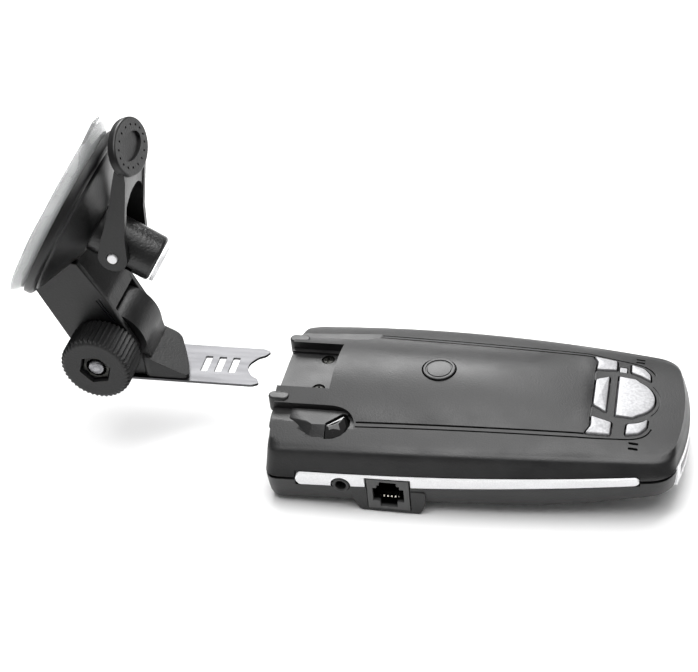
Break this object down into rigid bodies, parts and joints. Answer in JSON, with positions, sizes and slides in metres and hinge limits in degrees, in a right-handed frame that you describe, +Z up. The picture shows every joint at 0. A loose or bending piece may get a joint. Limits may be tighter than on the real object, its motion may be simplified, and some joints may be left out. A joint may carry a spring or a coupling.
{
  "type": "radar detector",
  "caption": "Dashboard radar and laser detector with silver keys, side trim and jacks, and a suction cup windscreen mount on a steel tongue.",
  "frame": {"origin": "centre of the flat belly that the detector stands on", "axes": "+X to the driver's end of the detector, away from the windscreen; +Z up; +Y to the side without the jacks"},
  "size_m": [0.211, 0.0703, 0.1173],
  "materials": {
    "case_black": "fine textured black",
    "silver_trim": "silver paint, satin",
    "dark_lens": "polished black",
    "indicator_window": "satin grey",
    "silver_key": "silver paint, satin",
    "circuit_board": "green solder resist",
    "key_mat": "matt grey silicone",
    "cast_alloy": "as cast",
    "component_black": "moulded",
    "jack_black": "smooth moulded",
    "gilt_contact": "gold plated",
    "bright_steel": "polished",
    "dark_steel": "black oxide",
    "blank_label": "satin film",
    "mount_black": "satin black",
    "clear_pad": "clear flexible vinyl"
  },
  "bodies": {
    "case": {"top_shell": "case_black", "bottom_shell": "case_black", "near_trim": "silver_trim", "far_trim": "silver_trim", "main_board": "circuit_board", "keypad_board": "circuit_board", "key_mat": "key_mat", "horn_antenna": "cast_alloy", "microwave_module": "cast_alloy", "front_window": "dark_lens", "front_laser_sensor": "component_black", "rear_laser_lens": "dark_lens", "indicator_window": "indicator_window", "display_bezel": "silver_trim", "display_window": "dark_lens", "display_module": "component_black", "speaker": "component_black", "phone_jack": "jack_black", "jack_contacts": "gilt_contact", "earphone_jack": "jack_black", "rating_label": "blank_label", "case_screw_1": "bright_steel", "case_screw_2": "bright_steel", "case_screw_3": "bright_steel", "case_screw_4": "bright_steel", "pocket_screw_1": "dark_steel", "pocket_screw_2": "dark_steel", "latch_spring": "bright_steel"},
    "release": {"release_button": "case_black", "latch_plate": "bright_steel"},
    "key_front_far": {"key_front_far": "silver_key"},
    "key_front_near": {"key_front_near": "silver_key"},
    "key_bar": {"key_bar": "silver_key"},
    "key_main": {"key_main": "silver_key"},
    "key_rear_far": {"key_rear_far": "silver_key"},
    "key_rear_near": {"key_rear_near": "silver_key"},
    "bracket": {"tongue": "bright_steel", "foot": "mount_black", "foot_rivet_1": "bright_steel", "foot_rivet_2": "bright_steel", "clamp_bolt": "bright_steel"},
    "arm": {"cup_housing": "mount_black", "suction_pad": "clear_pad"},
    "knob": {"clamp_knob": "mount_black", "clamp_nut": "bright_steel"},
    "stem": {"suction_stem": "mount_black", "stem_cap": "silver_trim", "pivot_pin": "bright_steel"},
    "lever": {"suction_lever": "mount_black"}
  },
  "joints": [
    {"name": "mount_slide", "type": "slide", "parent": "case", "child": "bracket", "axis": [1, 0, 0], "range_m": [0, 0.04]},
    {"name": "arm_tilt", "type": "hinge", "parent": "bracket", "child": "arm", "pos_m": [-0.1196, 0, 0.0389], "axis": [0, 1, 0], "range_deg": [-30, 15]},
    {"name": "knob_turn", "type": "hinge", "parent": "arm", "child": "knob", "pos_m": [-0.1196, 0, 0.0389], "axis": [0, 1, 0], "continuous": true},
    {"name": "stem_pull", "type": "slide", "parent": "arm", "child": "stem", "axis": [0.848, 0, -0.5299], "range_m": [-0.003, 0]},
    {"name": "lever_swing", "type": "hinge", "parent": "stem", "child": "lever", "pos_m": [-0.11093, 0, 0.07397], "axis": [0, 1, 0], "range_deg": [0, 90]},
    {"name": "release_press", "type": "slide", "parent": "case", "child": "release", "axis": [0, 0, -1], "range_m": [0, 0.0015], "stiffness_N_per_m": 1500, "deforming": ["latch_spring"]},
    {"name": "key_front_far_press", "type": "slide", "parent": "case", "child": "key_front_far", "axis": [0, 0, -1], "range_m": [0, 0.0008], "stiffness_N_per_m": 1200},
    {"name": "key_front_near_press", "type": "slide", "parent": "case", "child": "key_front_near", "axis": [0, 0, -1], "range_m": [0, 0.0008], "stiffness_N_per_m": 1200},
    {"name": "key_bar_press", "type": "slide", "parent": "case", "child": "key_bar", "axis": [0, 0, -1], "range_m": [0, 0.0008], "stiffness_N_per_m": 1200},
    {"name": "key_main_press", "type": "slide", "parent": "case", "child": "key_main", "axis": [0, 0, -1], "range_m": [0, 0.0008], "stiffness_N_per_m": 1200},
    {"name": "key_rear_far_press", "type": "slide", "parent": "case", "child": "key_rear_far", "axis": [0, 0, -1], "range_m": [0, 0.0008], "stiffness_N_per_m": 1200},
    {"name": "key_rear_near_press", "type": "slide", "parent": "case", "child": "key_rear_near", "axis": [0, 0, -1], "range_m": [0, 0.0008], "stiffness_N_per_m": 1200}
  ],
  "couplings": [
    {"joint": "stem_pull", "follows": "lever_swing", "m_per_rad": -0.0019}
  ]
}
